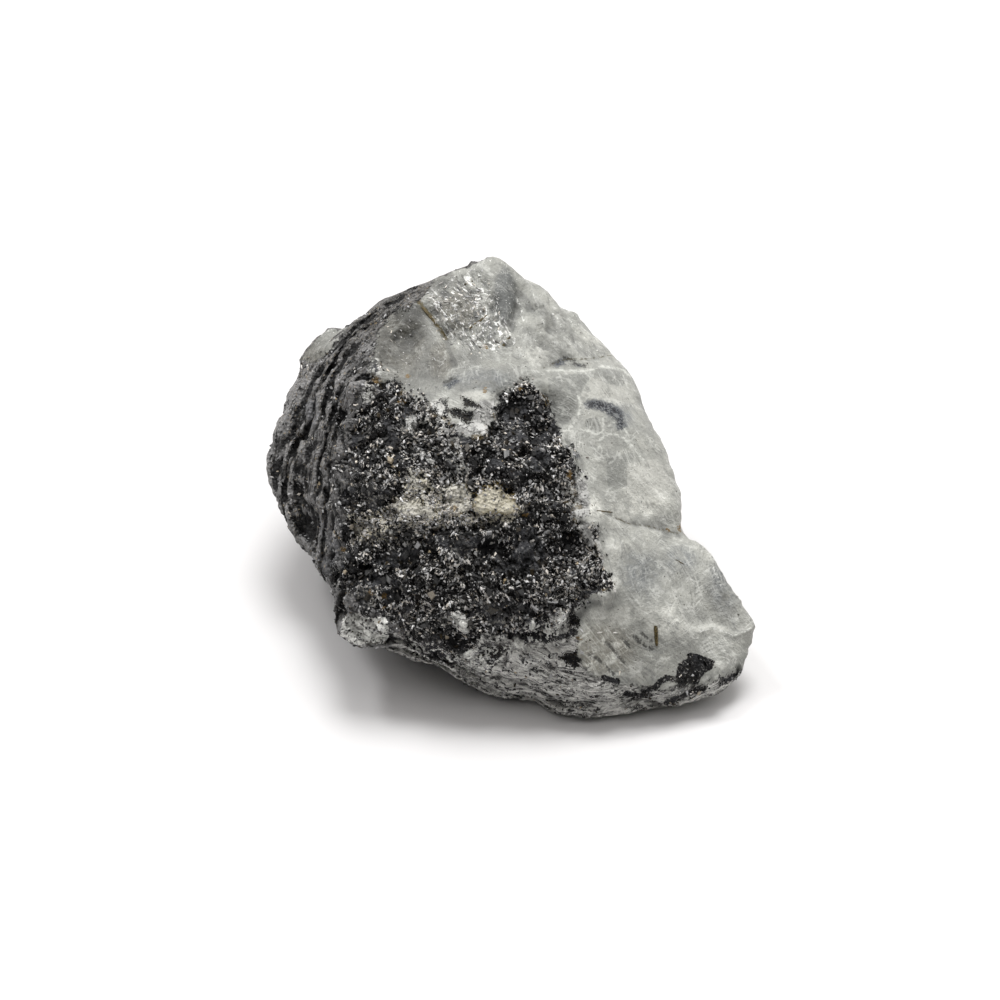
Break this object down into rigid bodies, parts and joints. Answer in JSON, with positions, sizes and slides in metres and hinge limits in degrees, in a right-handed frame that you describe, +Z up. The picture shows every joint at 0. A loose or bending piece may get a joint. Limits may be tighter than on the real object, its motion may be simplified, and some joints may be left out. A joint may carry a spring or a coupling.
{
  "type": "raw labradorite",
  "caption": "Rough broken piece of labradorite rock: pale milky feldspar with a black mica crust and dark layered schist, lying on a flat rest face.",
  "frame": {"origin": "under the middle of the stone's bounding box, on the surface it rests on", "axes": "+X along the stone's length, with the pale feldspar toe at +X; -Y towards the broken front face; +Z up"},
  "size_m": [0.0488, 0.0416, 0.0262],
  "materials": {
    "rock": "broken natural surface: smooth milky grey-white feldspar with a glassy sheen, sparkling black mica crust, satin dark grey layered schist"
  },
  "bodies": {
    "root": {"labradorite_rock": "rock"}
  },
  "joints": []
}
